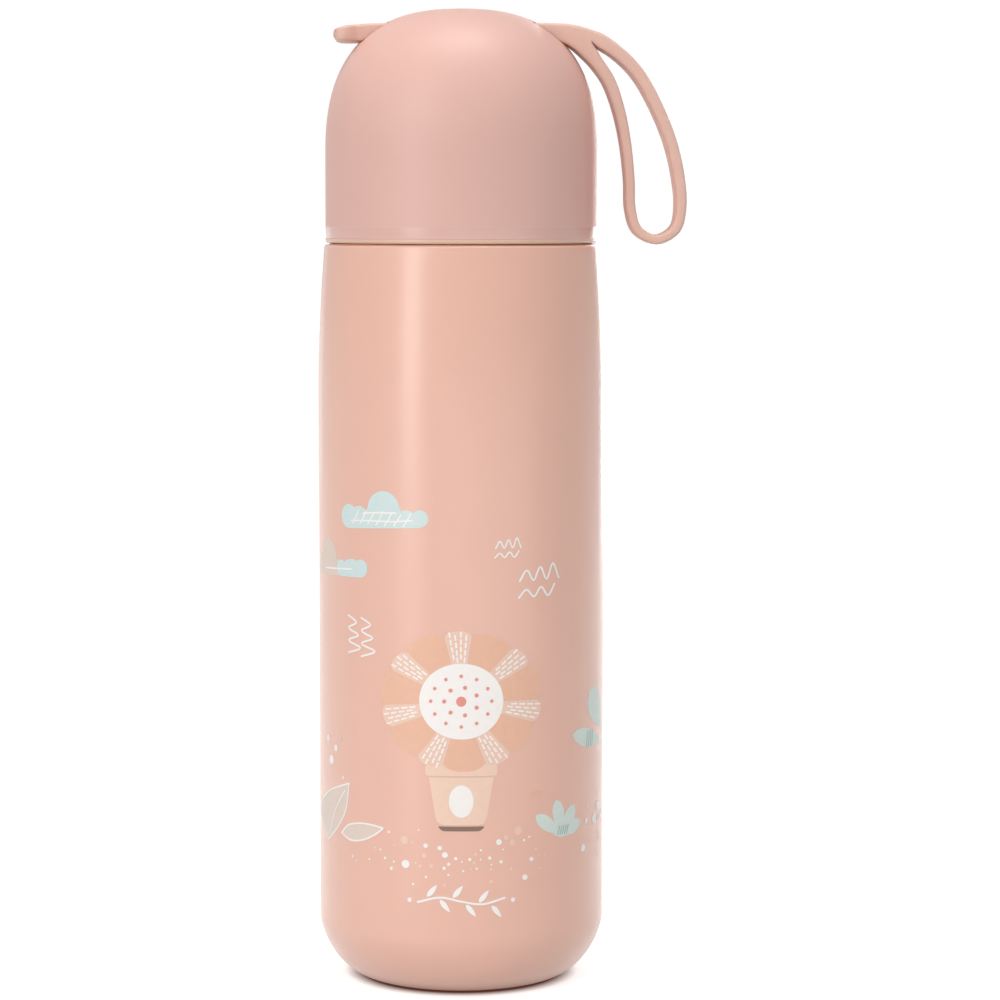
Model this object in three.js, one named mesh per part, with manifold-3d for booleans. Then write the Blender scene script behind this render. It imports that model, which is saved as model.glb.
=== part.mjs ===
// A vacuum-insulated steel bottle for baby care: a painted double-walled flask, a screwed push-button
// stopper, a domed cup screwed over the stopper, and a silicone carrying strap through the cup's dome.
// Millimetres, +Z up. The origin is the centre of the foot, and the strap runs along X.
import * as THREE from "three";
import { mergeVertices } from "three/addons/utils/BufferGeometryUtils.js";
import Module from "manifold-3d";

const wasm = await Module();
wasm.setup();

// ---------------------------------------------------------------- driving dimensions

const SEGMENTS = 32; // facets round every large turned piece
const GAP = 0.3; // between pieces that touch

const FOOT_R = 24.4; // inner edge of the shell's rounded base
const FOOT_Z = 0.5; // the shell stands this far clear of the surface, on its pad
const BASE_H = 14.8; // where the rounded base meets the straight wall
const BASE_POWER = 1.63; // superellipse exponent of that rounding
const BODY_R = 35;
const TAPER_Z = 141.8; // where the wall starts to draw in
const SHOULDER_R = 33.36;
const SHOULDER_Z = 179.9; // top of the flask's painted part
const STEEL = 0.5; // thickness of both steel walls
const VACUUM = 2.5; // space between them
const NECK_R = 26; // outside of the neck
const MOUTH_R = 23; // inside of the neck
const MOUTH_Z = 197.1; // top of the mouth's rolled lip

const CUP_R = 33.1;
const CUP_Z = SHOULDER_Z + 0.45; // the cup's rim, just clear of the shoulder
const DOME_Z = 200.9; // where the dome springs from the straight wall
const DOME_H = 35.9;
const DOME_POWER = 2.545; // superellipse exponent of the dome
const CUP_WALL = 1.8;
const BOWL_TOP = 219.4; // outside of the inner bowl

const PITCH = 4; // both screw threads
const FOAM_PLAY = 3.4; // room under each foam piece, a little more than a screw's travel
const THREAD_TURNS = 0.75; // length of each thread; a turn of this much frees it
const THREAD_Z = 185; // where each outside thread starts
const THREAD_H = 1;

const SKIRT_R = 28.9; // outside of the stopper
const DECK_Z = 198.3; // underside of the stopper's deck
const PLUG_R = 22.4;
const PLUG_Z = 176.5; // bottom of the stopper
const BUTTON_R = 10.8;
const BUTTON_Z = 211.5;

const STRAP_W = 13; // along Y
const STRAP_T = 4.2; // in the slot
const STRAP_Z = 231; // middle of the strap in the slot
const HINGE_X = 26.2; // where the strap starts to bend

// ---------------------------------------------------------------- materials

const finish = (color, roughness, metalness = 0) =>
  new THREE.MeshStandardMaterial({ color, roughness, metalness });
const paint = finish(0xf0c2ae, 0.4);
const steel = finish(0xc9c7c3, 0.28, 1);
const cupPlastic = finish(0xe3bbb0, 0.45);
const rimPlastic = finish(0xe6c6b0, 0.4);
const whitePlastic = finish(0xf3eeea, 0.4);
const strapSilicone = finish(0xe2b7a8, 0.6);
const clearSilicone = finish(0xe9e6e0, 0.35);
const greySilicone = finish(0x8f8986, 0.7);
const foam = finish(0xfafaf7, 0.9);
const getterMetal = finish(0x6b6a68, 0.6, 1);
const solder = finish(0x3d3a3a, 0.3);

// ---------------------------------------------------------------- solids and meshes

// A closed BufferGeometry as a manifold-3d solid that faces out.
function solid(geometry) {
  const bare = geometry.clone();
  bare.deleteAttribute("normal");
  bare.deleteAttribute("uv");
  const merged = mergeVertices(bare, 1e-4);
  const triVerts = [];
  for (let i = 0; i < merged.index.count; i += 3) {
    const [a, b, c] = [0, 1, 2].map((k) => merged.index.getX(i + k));
    if (a !== b && b !== c && c !== a) triVerts.push(a, b, c);
  }
  const vertProperties = merged.attributes.position.array;
  const make = (faces) =>
    new wasm.Manifold(new wasm.Mesh({ numProp: 3, vertProperties, triVerts: new Uint32Array(faces) }));
  const made = make(triVerts);
  return made.volume() > 0 ? made : make(triVerts.reverse());
}

// A manifold-3d solid as a BufferGeometry.
function geometryOf(made) {
  const mesh = made.getMesh();
  const geometry = new THREE.BufferGeometry();
  geometry.setAttribute("position", new THREE.BufferAttribute(mesh.vertProperties, 3));
  geometry.setIndex(new THREE.BufferAttribute(mesh.triVerts, 1));
  geometry.computeVertexNormals();
  return geometry;
}

const bottle = new THREE.Group();

function add(name, made, material) {
  const mesh = new THREE.Mesh(geometryOf(made), material);
  mesh.name = name;
  bottle.add(mesh);
}

// A solid turned about Z. The profile is a list of [radius, z] that closes on itself or on the axis.
function turned(profile, segments = SEGMENTS) {
  const points = profile.map(([r, z]) => new THREE.Vector2(r, z));
  const closed = [profile[0][0], profile.at(-1)[0]].some((r) => r > 0);
  if (closed) points.push(points[0].clone());
  return solid(new THREE.LatheGeometry(points, segments).rotateX(Math.PI / 2));
}

// A plain ring or disc.
const ring = (inner, outer, low, high, segments = SEGMENTS) =>
  turned([[inner, low], [outer, low], [outer, high], [inner, high]], segments);

function box([x0, x1], [y0, y1], [z0, z1]) {
  const geometry = new THREE.BoxGeometry(x1 - x0, y1 - y0, z1 - z0);
  return solid(geometry.translate((x0 + x1) / 2, (y0 + y1) / 2, (z0 + z1) / 2));
}

// A shape in the XZ plane, given depth along Y and centred on it.
function slab(shape, depth, steps = 8) {
  const geometry = new THREE.ExtrudeGeometry(shape, { depth, bevelEnabled: false, curveSegments: steps });
  return solid(geometry.translate(0, 0, -depth / 2).rotateX(Math.PI / 2));
}

// Points of a superellipse quarter, from [r0, z0], where it runs along Z, to [r1, z1], where it runs
// along R.
function quarter([r0, z0], [r1, z1], power, count) {
  return Array.from({ length: count + 1 }, (_, i) => {
    const a = (i / count) * (Math.PI / 2);
    const along = Math.max(0, Math.cos(a)) ** (2 / power);
    const across = Math.max(0, Math.sin(a)) ** (2 / power);
    return [r1 + (r0 - r1) * along, z0 + (z1 - z0) * across];
  });
}

// One start of a screw thread: a trapezoid swept up a right-hand helix, faded at both ends, and let
// into its wall.
function thread(root, crest, z) {
  const [rootHalf, crestHalf, letIn, fade] = [1.2, 0.6, 0.3, 3];
  const steps = Math.round(THREAD_TURNS * SEGMENTS);
  const inside = root - Math.sign(crest - root) * letIn;
  const position = [];
  const index = [];
  for (let i = 0; i <= steps; i++) {
    const a = (i / SEGMENTS) * 2 * Math.PI;
    const middle = z + (i / SEGMENTS) * PITCH;
    const tip = root + (crest - root) * Math.min(1, (i + 0.3) / fade, (steps - i + 0.3) / fade);
    for (const [r, h] of [[inside, -rootHalf], [tip, -crestHalf], [tip, crestHalf], [inside, rootHalf]])
      position.push(r * Math.cos(a), r * Math.sin(a), middle + h);
  }
  for (let i = 0; i < steps; i++)
    for (let k = 0; k < 4; k++) {
      const [a, b] = [i * 4 + k, i * 4 + ((k + 1) % 4)];
      index.push(a, b, b + 4, a, b + 4, a + 4);
    }
  const last = steps * 4;
  index.push(0, 2, 1, 0, 3, 2, last, last + 1, last + 2, last, last + 2, last + 3);
  const geometry = new THREE.BufferGeometry();
  geometry.setAttribute("position", new THREE.Float32BufferAttribute(position, 3));
  return solid(geometry.setIndex(index));
}

// ---------------------------------------------------------------- flask

// The wall's radius where it draws in towards the shoulder.
const taperedR = (z) => BODY_R - (BODY_R - SHOULDER_R) * ((z - TAPER_Z) / (SHOULDER_Z - TAPER_Z)) ** 2;

// One side of the shell's wall, from its foot to its shoulder, moved in by inset.
function wallProfile(inset, baseSteps, taperAt) {
  const base = quarter([BODY_R - inset, BASE_H], [FOOT_R, FOOT_Z + inset], BASE_POWER, baseSteps).reverse();
  const taper = taperAt.map((s) => TAPER_Z + s * (SHOULDER_Z - TAPER_Z));
  return [...base, ...taper.map((z) => [taperedR(z) - inset, z - inset * ((z - TAPER_Z) / 40)])];
}

function outerShell() {
  const edge = 0.5; // rounding of the shoulder's edge
  const outside = [
    ...wallProfile(0, 6, [0, 0.4, 0.7, 0.97]),
    [SHOULDER_R - edge, SHOULDER_Z],
    [NECK_R + 1.2, SHOULDER_Z],
    [NECK_R, SHOULDER_Z + 1.2],
    [NECK_R, MOUTH_Z - 1],
  ];
  const inside = [
    [NECK_R - STEEL, MOUTH_Z - 1],
    [NECK_R - STEEL, SHOULDER_Z + 0.8],
    [NECK_R + 0.9, SHOULDER_Z - STEEL],
    [SHOULDER_R - edge - 0.3, SHOULDER_Z - STEEL],
    ...wallProfile(STEEL, 6, [0, 0.5]).reverse(),
  ];
  return turned([...outside, ...inside]).add(thread(NECK_R, NECK_R + THREAD_H, THREAD_Z));
}

// The liner: a straight tube with a rounded bottom, necked in below the mouth and rolled out over it.
function innerFlask() {
  const outerR = BODY_R - STEEL - VACUUM;
  const side = (inset) => [
    [0, 6.5 + inset],
    ...quarter([outerR - inset, 15.5], [22, 6.5 + inset], 2, 3).reverse(),
    ...quarter([outerR - inset, 164], [27.3 - inset, 170 - inset], 2, 2),
    ...quarter([MOUTH_R + STEEL - inset, 175], [27.3 - inset, 170 - inset], 2, 2).reverse().slice(1),
  ];
  const lip = [
    [MOUTH_R + STEEL, MOUTH_Z - STEEL],
    [NECK_R, MOUTH_Z - STEEL],
    [NECK_R, MOUTH_Z],
    [MOUTH_R + 0.5, MOUTH_Z],
    [MOUTH_R, MOUTH_Z - 0.5],
  ];
  return turned([...side(0), ...lip, ...side(STEEL).reverse()]);
}

// The welded bottom: a flanged disc with a dimple round its evacuation hole.
function basePlate() {
  const [r, low, dimple, hole] = [FOOT_R - GAP, 1.6, 4.5, 0.9];
  return turned([
    [r, 0.8],
    [r, low + STEEL],
    [dimple + 1, low + STEEL],
    [dimple, low + 2 * STEEL],
    [hole, low + 2 * STEEL],
    [hole, low + STEEL],
    [dimple - 0.3, low + STEEL],
    [dimple + 0.5, low],
    [r - STEEL, low],
    [r - STEEL, 0.8],
  ]);
}

// A cap, with its edge turned in, that holds the getter's disc under the liner.
const getterClip = () =>
  turned([[0, 5.6], [4.3, 5.6], [4.3, 3.4], [3.5, 3.4], [3.5, 3.1], [4.9, 3.1], [4.9, 6.2], [0, 6.2]], 16);

add("outer_shell", outerShell(), paint);
add("inner_flask", innerFlask(), steel);
add("base_plate", basePlate(), steel);
add("base_pad", turned([[0, 0], [22.2, 0], [22.8, 0.6], [22.8, 1.3], [0, 1.3]]), greySilicone);
add("seal_bead", turned([[0, 1.6], [1.8, 1.7], [2.2, 2], [0, 2.05]], 16), solder);
add("getter", turned([[0, 3.7], [4, 3.7], [4, 5.3], [0, 5.3]], 16), getterMetal);
add("getter_clip", getterClip(), steel);

// ---------------------------------------------------------------- stopper

const DECK_TOP = DECK_Z + 2;
const COLLAR_IN = BUTTON_R + 0.4; // the button slides in this bore

// The stopper's upper half: a skirt screwed on the neck, a deck with a pouring lip, and a spigot for
// the lower half.
function stopperBody() {
  const [skirtIn, wallIn, lipTop] = [NECK_R + 1.3, PLUG_R - 1.4, DECK_TOP + 3.7];
  const made = turned([
    [SKIRT_R, CUP_Z + 0.4],
    [SKIRT_R, DECK_TOP - 0.3],
    [SKIRT_R - 0.9, DECK_TOP + 0.6],
    [SKIRT_R - 0.9, lipTop],
    [SKIRT_R - 2.3, lipTop],
    [SKIRT_R - 2.9, DECK_TOP + 0.6],
    [SKIRT_R - 3.6, DECK_TOP],
    [8.9, DECK_TOP],
    [8.9, DECK_Z],
    [wallIn, DECK_Z],
    [wallIn, 188],
    [PLUG_R, 188],
    [PLUG_R, DECK_Z],
    [skirtIn, DECK_Z],
    [skirtIn, CUP_Z + 0.4],
  ])
    .add(thread(skirtIn, skirtIn - THREAD_H, THREAD_Z - PITCH / 2))
    .add(thread(SKIRT_R, SKIRT_R + THREAD_H, THREAD_Z));
  const spout = box([-5, 5], [-SKIRT_R - 1, -SKIRT_R + 3.5], [DECK_TOP + 2.2, lipTop + 1]);
  return made.subtract(spout);
}

// The collar that the button slides in: it stands on the deck on three feet, and the drink pours
// between them.
function buttonCollar() {
  const low = DECK_TOP + GAP;
  const window = box([-4, 4], [-14, -9.5], [low - 1, low + 3.6]);
  return [0, 120, 240].reduce(
    (made, a) => made.subtract(window.rotate([0, 0, a])),
    ring(COLLAR_IN, COLLAR_IN + 1.4, low, DECK_TOP + 7.9),
  );
}

// The stopper's lower half: a cup with the pouring tube in its middle, a spigot that joins the upper
// half, and a groove for the seal.
function stopperBase() {
  const [grooveR, low] = [PLUG_R - 1.6, 182];
  return turned([
    [5, PLUG_Z],
    [PLUG_R - 1.5, PLUG_Z],
    [PLUG_R, PLUG_Z + 1.5],
    [PLUG_R, low],
    [grooveR, low],
    [grooveR, low + 3],
    [PLUG_R, low + 3],
    [PLUG_R, 187.7],
    [PLUG_R - 1.7, 187.7],
    [PLUG_R - 1.7, 192],
    [PLUG_R - 2.9, 192],
    [PLUG_R - 2.9, PLUG_Z + 1.8],
    [7.4, PLUG_Z + 1.8],
    [7.4, 200],
    [5.9, 200],
    [5.9, PLUG_Z + 2.5],
    [5, PLUG_Z + 1.6],
  ]);
}

// A two-lipped silicone ring that wipes the neck.
const plugSeal = () =>
  turned([
    [21, 182.3],
    [22.4, 182.3],
    [22.8, 182.9],
    [22.3, 183.5],
    [22.8, 184.1],
    [22.4, 184.7],
    [21, 184.7],
  ]);

// A hub on three spokes, which guides the valve's stem and seats the spring.
function stemGuide() {
  const [low, high] = [200.3, 201.8];
  const spoke = box([2.8, 6.6], [-1, 1], [low, high]);
  return [0, 120, 240].reduce(
    (made, a) => made.add(spoke.rotate([0, 0, a])),
    ring(6.2, 8.5, low, high, 24).add(ring(2.1, 3.4, low, high + 2, 24)),
  );
}

// A closed-end coil spring from low to high, about Z.
function coil(low, high) {
  const [meanR, wireR, turns, perTurn, sides] = [4.6, 0.35, 3.5, 16, 6];
  class Helix extends THREE.Curve {
    getPoint(t) {
      const a = t * turns * 2 * Math.PI;
      const climb = t * (high - low - 2 * wireR);
      return new THREE.Vector3(meanR * Math.cos(a), meanR * Math.sin(a), low + wireR + climb);
    }
  }
  const section = new THREE.Shape(
    Array.from({ length: sides }, (_, i) => {
      const a = (i / sides) * 2 * Math.PI;
      return new THREE.Vector2(wireR * Math.cos(a), wireR * Math.sin(a));
    }),
  );
  return solid(new THREE.ExtrudeGeometry(section, { steps: turns * perTurn, extrudePath: new Helix() }));
}

// The push button: a dished cap with a boss for the stem and a recess for its insert.
function pushButton() {
  const [plate, rimIn] = [BUTTON_Z - 3.1, BUTTON_R - 1.9];
  return turned([
    [1.9, plate - 1],
    [3.2, plate - 1],
    [3.2, plate],
    [BUTTON_R - 1.2, plate],
    [BUTTON_R - 1.2, plate - 2],
    [BUTTON_R, plate - 2],
    [BUTTON_R, BUTTON_Z - 0.8],
    [BUTTON_R - 0.8, BUTTON_Z],
    [rimIn, BUTTON_Z],
    [rimIn, plate + 1.5],
    [1.9, plate + 1.5],
  ], 24);
}

// The coloured cap that covers the button's screw.
const buttonInsert = () =>
  turned([[0, 211], [8, 211], [8, 210.2], [8.6, 210.2], [8.6, 211.3], [8, 211.7], [0, 211.5]], 24);

// The screw that holds the button on the stem.
const buttonScrew = () =>
  turned([[0, 204], [0.8, 204], [0.8, 210.1], [2.6, 210.1], [2.6, 210.4], [2.2, 210.7], [0, 210.7]], 12);

// The valve: a stem, bored for the screw, with a disc head that closes the stopper from below.
function valveStem() {
  const [top, boreR, boreZ] = [208.2, 1.1, 203.5];
  const head = [[0, 171.6], [6.6, 171.6], [8.2, 172.6], [8.2, 173.6], [2.4, 173.6], [1.6, 174.6]];
  return turned([...head, [1.6, top], [boreR, top], [boreR, boreZ], [0, boreZ]], 16);
}

// The washer on the valve's head.
const valveSeal = () =>
  turned([[2.7, 173.9], [7.8, 173.9], [7.8, 175.2], [6.6, 176.2], [2.7, 176.2]], 24);

add("stopper_body", stopperBody(), whitePlastic);
add("stopper_base", stopperBase(), whitePlastic);
add("button_collar", buttonCollar(), whitePlastic);
add("stopper_foam", ring(7.8, PLUG_R - 3.3, PLUG_Z + 2.1 + FOAM_PLAY, DECK_Z - GAP, 24), foam);
add("mouth_gasket", ring(MOUTH_R + 0.4, NECK_R, MOUTH_Z + 0.2, DECK_Z - 0.2), clearSilicone);
add("plug_seal", plugSeal(), clearSilicone);
add("stem_guide", stemGuide(), whitePlastic);
add("button_spring", coil(202.1, 208.1), steel);
add("push_button", pushButton(), cupPlastic);
add("button_insert", buttonInsert(), rimPlastic);
add("button_screw", buttonScrew(), steel);
add("valve_stem", valveStem(), whitePlastic);
add("valve_seal", valveSeal(), clearSilicone);

// ---------------------------------------------------------------- cup

const SLOT = 0.4; // clearance round the strap
const CEILING = 226.8; // inside of the dome, just under the tunnel

// The dome: straight below, a superellipse above, with a tunnel for the strap just under its top.
function cupShell() {
  const inR = CUP_R - CUP_WALL;
  const low = CUP_Z + 1.1;
  const made = turned([
    [inR, low],
    [CUP_R, low],
    ...quarter([CUP_R, DOME_Z], [0, DOME_Z + DOME_H], DOME_POWER, 10),
    ...quarter([inR, DOME_Z], [0, CEILING], DOME_POWER, 6).reverse(),
  ]);
  const half = { y: STRAP_W / 2 + 2 * SLOT, z: STRAP_T / 2 + SLOT };
  const tunnel = box([-40, 40], [-half.y, half.y], [STRAP_Z - half.z, STRAP_Z + half.z]);
  return made.subtract(tunnel);
}

// The bowl that makes the dome a drinking cup.
function cupLiner() {
  const [outR, wall, low] = [CUP_R - CUP_WALL - GAP, 1.2, 196.2];
  return turned([
    [outR - wall, low],
    [outR, low],
    ...quarter([outR, DOME_Z], [0, BOWL_TOP], DOME_POWER, 6),
    ...quarter([outR - wall, DOME_Z], [0, BOWL_TOP - wall], DOME_POWER, 6).reverse(),
  ]);
}

// The threaded ring that closes the cup's wall and screws on the stopper.
function cupThreadRing() {
  const [inR, outR] = [SKIRT_R + 1.3, CUP_R - CUP_WALL - GAP];
  return ring(inR, outR, CUP_Z + 1.1, 195.9).add(thread(inR, inR - THREAD_H, THREAD_Z - PITCH / 2));
}

// A foam disc between the bowl and the dome.
function cupFoam() {
  const [low, high, r] = [BOWL_TOP + FOAM_PLAY, CEILING - 1.5, 11];
  return turned([[0, low], [r, low], [r, high], [0, high]], 24);
}

// The trim ring under the cup's edge.
const cupRim = () =>
  turned([[30.5, CUP_Z], [32.7, CUP_Z], [CUP_R, CUP_Z + 0.4], [CUP_R, CUP_Z + 0.8], [30.5, CUP_Z + 0.8]]);

add("cup_shell", cupShell(), cupPlastic);
add("cup_liner", cupLiner(), whitePlastic);
add("cup_thread_ring", cupThreadRing(), whitePlastic);
add("cup_rim", cupRim(), rimPlastic);
add("cup_foam", cupFoam(), foam);

// ---------------------------------------------------------------- strap

// The straight band in the tunnel, with a wider, thinner stop on its left end. Its right end is cut at a
// slant, so that the loop can fold back over the dome.
function strapBand() {
  const [bandEnd, slantTop] = [HINGE_X - STRAP_T / 2 - GAP, HINGE_X - 4.1];
  const [tip, neck, stopHalf, half] = [-30.6, -24.2, 9.2, STRAP_W / 2];
  const [low, high] = [STRAP_Z - STRAP_T / 2, STRAP_Z + STRAP_T / 2];
  const plan = new THREE.Shape();
  plan.moveTo(bandEnd, -half);
  plan.lineTo(bandEnd, half);
  plan.lineTo(neck, half);
  plan.bezierCurveTo(neck - 1.5, half, neck - 1.5, stopHalf, neck - 3, stopHalf);
  plan.quadraticCurveTo(tip, stopHalf, tip, stopHalf - 3.4);
  plan.lineTo(tip, 3.4 - stopHalf);
  plan.quadraticCurveTo(tip, -stopHalf, neck - 3, -stopHalf);
  plan.bezierCurveTo(neck - 1.5, -stopHalf, neck - 1.5, -half, neck, -half);
  const side = new THREE.Shape();
  side.moveTo(bandEnd, low);
  side.lineTo(bandEnd, STRAP_Z - 0.6);
  side.lineTo(slantTop, high);
  side.lineTo(-19, high);
  side.lineTo(-28, high - 0.7);
  side.quadraticCurveTo(tip, high - 1, tip, high - 2.2);
  side.quadraticCurveTo(tip, low + 0.1, -29.4, low + 0.1);
  side.lineTo(-25, low);
  const settings = { depth: 2 * STRAP_T, bevelEnabled: false, curveSegments: 4 };
  const flat = new THREE.ExtrudeGeometry(plan, settings).translate(0, 0, low - STRAP_T / 2);
  return solid(flat).intersect(slab(side, 40, 4));
}

// The middle line of the loop, from the hinge out along the far strand, round the bend and back up the
// near one.
const LOOP = [
  [31, 230.3], [36, 227.3], [41.2, 221.9], [46, 213.9], [49.9, 205],
  [52.3, 196.5], [53.2, 188.5], [51.7, 183.3], [47.3, 181], [42.8, 183],
  [41, 188], [40.6, 197.5], [39, 209.1], [36.2, 217.9], [31.8, 224.8],
];

// The loop's outline at one side of its middle line: the strap is thick at its root and thin at the far
// bend.
function loopSide(side) {
  const count = 36;
  const points = LOOP.map(([x, z]) => new THREE.Vector3(x, 0, z));
  const line = new THREE.CatmullRomCurve3(points, false, "centripetal");
  return Array.from({ length: count + 1 }, (_, i) => {
    const t = i / count;
    const half = (3.4 - 1.1 * Math.min(1, 1.8 * (0.5 - Math.abs(t - 0.5)))) / 2;
    const at = line.getPointAt(t);
    const way = line.getTangentAt(t);
    return new THREE.Vector2(at.x - side * way.z * half, at.z + side * way.x * half);
  });
}

// The hanging loop, whose round root turns on the hinge line.
function strapLoop() {
  const crotch = new THREE.Vector2(29.2, 229.6); // where the strands part
  const outside = loopSide(1);
  const inside = loopSide(-1);
  const outline = new THREE.Shape();
  outline.moveTo(HINGE_X, STRAP_Z + STRAP_T / 2);
  outside.forEach((p) => outline.lineTo(p.x, p.y));
  outline.lineTo(HINGE_X + 2.1, STRAP_Z - STRAP_T - 0.7);
  outline.lineTo(HINGE_X + 0.2, STRAP_Z - STRAP_T + 0.8);
  outline.lineTo(HINGE_X, STRAP_Z - STRAP_T / 2);
  outline.absarc(HINGE_X, STRAP_Z, STRAP_T / 2, -Math.PI / 2, Math.PI / 2, true);
  outline.holes.push(new THREE.Path([crotch, ...inside].reverse()));
  return slab(outline, STRAP_W);
}

add("strap_band", strapBand(), strapSilicone);
add("strap_loop", strapLoop(), strapSilicone);

export default bottle;
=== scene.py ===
import random
from math import cos, hypot, pi, radians, sin, sqrt

import bmesh
import bpy
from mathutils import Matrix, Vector


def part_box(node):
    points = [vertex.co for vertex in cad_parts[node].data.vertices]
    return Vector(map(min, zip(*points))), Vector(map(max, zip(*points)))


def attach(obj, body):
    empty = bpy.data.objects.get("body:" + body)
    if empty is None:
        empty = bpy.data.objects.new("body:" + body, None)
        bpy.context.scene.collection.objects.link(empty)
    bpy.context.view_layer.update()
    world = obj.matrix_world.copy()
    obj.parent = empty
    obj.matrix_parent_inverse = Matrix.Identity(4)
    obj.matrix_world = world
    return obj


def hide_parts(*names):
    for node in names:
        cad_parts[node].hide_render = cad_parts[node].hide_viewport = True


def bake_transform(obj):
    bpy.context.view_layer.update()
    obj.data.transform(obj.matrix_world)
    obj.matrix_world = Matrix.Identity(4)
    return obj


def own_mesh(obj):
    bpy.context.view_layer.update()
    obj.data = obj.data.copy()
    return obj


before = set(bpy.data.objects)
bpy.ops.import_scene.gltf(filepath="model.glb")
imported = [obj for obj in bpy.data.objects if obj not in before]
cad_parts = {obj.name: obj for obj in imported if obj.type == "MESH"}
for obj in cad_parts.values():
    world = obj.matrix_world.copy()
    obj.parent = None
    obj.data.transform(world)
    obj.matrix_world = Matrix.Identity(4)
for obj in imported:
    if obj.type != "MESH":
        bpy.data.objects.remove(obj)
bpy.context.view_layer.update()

MM = 0.001
TURN = 2 * pi


# ------ sizes, mostly from the frame

def reach(node):
    """A turned node's radius, lowest z and highest z, in millimetres."""
    low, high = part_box(node)
    return high.x / MM, low.z / MM, high.z / MM


BODY_R, FOOT_Z, NECK_TOP = reach("outer_shell")
CUP_R, CUP_LOW, DOME_TOP = reach("cup_shell")
CUP_Z = reach("cup_rim")[1]
MOUTH_Z = reach("inner_flask")[2]
LINER_R, LINER_LOW, BOWL_TOP = reach("cup_liner")
BUTTON_R, BUTTON_LOW, BUTTON_Z = reach("push_button")
COLLAR_R, COLLAR_LOW, COLLAR_TOP = reach("button_collar")
PAD_R, _, PAD_TOP = reach("base_pad")
PLATE_R, PLATE_LOW, _ = reach("base_plate")
PLUG_R, PLUG_Z, BASE_TOP = reach("stopper_base")
HALF_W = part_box("strap_loop")[1].y / MM  # half the strap's width
STRAP_Z = 231.0  # middle of the strap in its tunnel

SHOULDER_Z = CUP_Z - 0.45
SHOULDER_R = 33.36
RIDGE_Z = SHOULDER_Z + 0.3  # a low ridge on the shoulder, which closes most of the gap under the cup
RIDGE_IN, RIDGE_OUT = 31, 32.1
TAPER_Z = 141.8  # where the wall starts to draw in
BASE_H = 14.8  # where the rounded base meets the straight wall
BASE_POWER = 1.63
FOOT_R = PLATE_R + 0.3
NECK_R = 26.0
MOUTH_R = 23.0
STEEL = 0.5
DOME_Z = 200.9  # where the dome springs from the cup's straight wall
DOME_POWER = 2.545
CEILING = 226.8
CUP_WALL = 1.8
BAND_Z = CUP_Z + 3.9  # top of the smooth band at the cup's edge
DECK_Z = COLLAR_LOW - 2.3
DECK_TOP = COLLAR_LOW - 0.3
SKIRT_R = 28.9
PITCH = 4.0
THREAD_TURNS = 0.75
THREAD_Z = 185.0
THREAD_H = 1.0


# ------ outlines

def rounded(points, steps=5):
    """An outline. A corner with a third number becomes a curve that starts that far from the corner."""
    made = []
    for i, point in enumerate(points):
        here = Vector(point[:2])
        if len(point) < 3:
            made.append(here)
            continue
        to_last = Vector(points[i - 1][:2]) - here
        to_next = Vector(points[(i + 1) % len(points)][:2]) - here
        start = here + to_last.normalized() * min(point[2], 0.48 * to_last.length)
        end = here + to_next.normalized() * min(point[2], 0.48 * to_next.length)
        for k in range(steps + 1):
            t = k / steps
            made.append(start * (1 - t) ** 2 + here * 2 * t * (1 - t) + end * t * t)
    return made


def trapezoid(middle, low, high):
    """A symmetrical rounded shape from half its width, height and corner, below and above."""
    (a, b, *c), (d, e, *f) = low, high
    return rounded([(middle - a, b, *c), (middle + a, b, *c), (middle + d, e, *f), (middle - d, e, *f)])


def quarter(start, end, power, count):
    """A superellipse quarter, from start, where it runs along Z, to end, where it runs along R."""
    made = []
    for i in range(count + 1):
        a = i / count * pi / 2
        along = max(0, cos(a)) ** (2 / power)
        across = max(0, sin(a)) ** (2 / power)
        made.append((end[0] + (start[0] - end[0]) * along, start[1] + (end[1] - start[1]) * across))
    return made


def smooth(points, steps):
    """A centripetal Catmull-Rom curve through the points, with steps samples for each stretch."""
    points = [Vector(p) for p in points]
    count = len(points)

    def at(i):
        if i < 0:
            return 2 * points[0] - points[1]
        if i >= count:
            return 2 * points[-1] - points[-2]
        return points[i]

    made = []
    for i in range(count - 1):
        p0, p1, p2, p3 = at(i - 1), at(i), at(i + 1), at(i + 2)
        t01, t12, t23 = [max(1e-6, (b - a).length) ** 0.5 for a, b in ((p0, p1), (p1, p2), (p2, p3))]
        m1 = ((p1 - p0) / t01 - (p2 - p0) / (t01 + t12) + (p2 - p1) / t12) * t12
        m2 = ((p2 - p1) / t12 - (p3 - p1) / (t12 + t23) + (p3 - p2) / t23) * t12
        for k in range(steps):
            t = k / steps
            square, cube = t * t, t * t * t
            made.append(
                p1 * (2 * cube - 3 * square + 1) + m1 * (cube - 2 * square + t)
                + p2 * (3 * square - 2 * cube) + m2 * (cube - square)
            )
    return made + [points[-1]]


def wall_r(z):
    """The painted wall's radius above its rounded base."""
    if z <= TAPER_Z:
        return BODY_R
    return BODY_R - (BODY_R - SHOULDER_R) * ((z - TAPER_Z) / (SHOULDER_Z - TAPER_Z)) ** 2


# ------ meshes

def placed(name, data):
    obj = bpy.data.objects.new(name, data)
    bpy.context.scene.collection.objects.link(obj)
    return obj


def new_object(name, verts, faces, sharp=35):
    """A mesh object from millimetres, with edges sharper than that many degrees kept crisp."""
    mesh = bpy.data.meshes.new(name)
    mesh.from_pydata([Vector(v) * MM for v in verts], [], faces)
    bm = bmesh.new()
    bm.from_mesh(mesh)
    bmesh.ops.recalc_face_normals(bm, faces=bm.faces)
    bm.to_mesh(mesh)
    bm.free()
    obj = placed(name, mesh)
    crisp(obj, sharp)
    return obj


def polar(r, a):
    return r * cos(a), r * sin(a)


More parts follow.
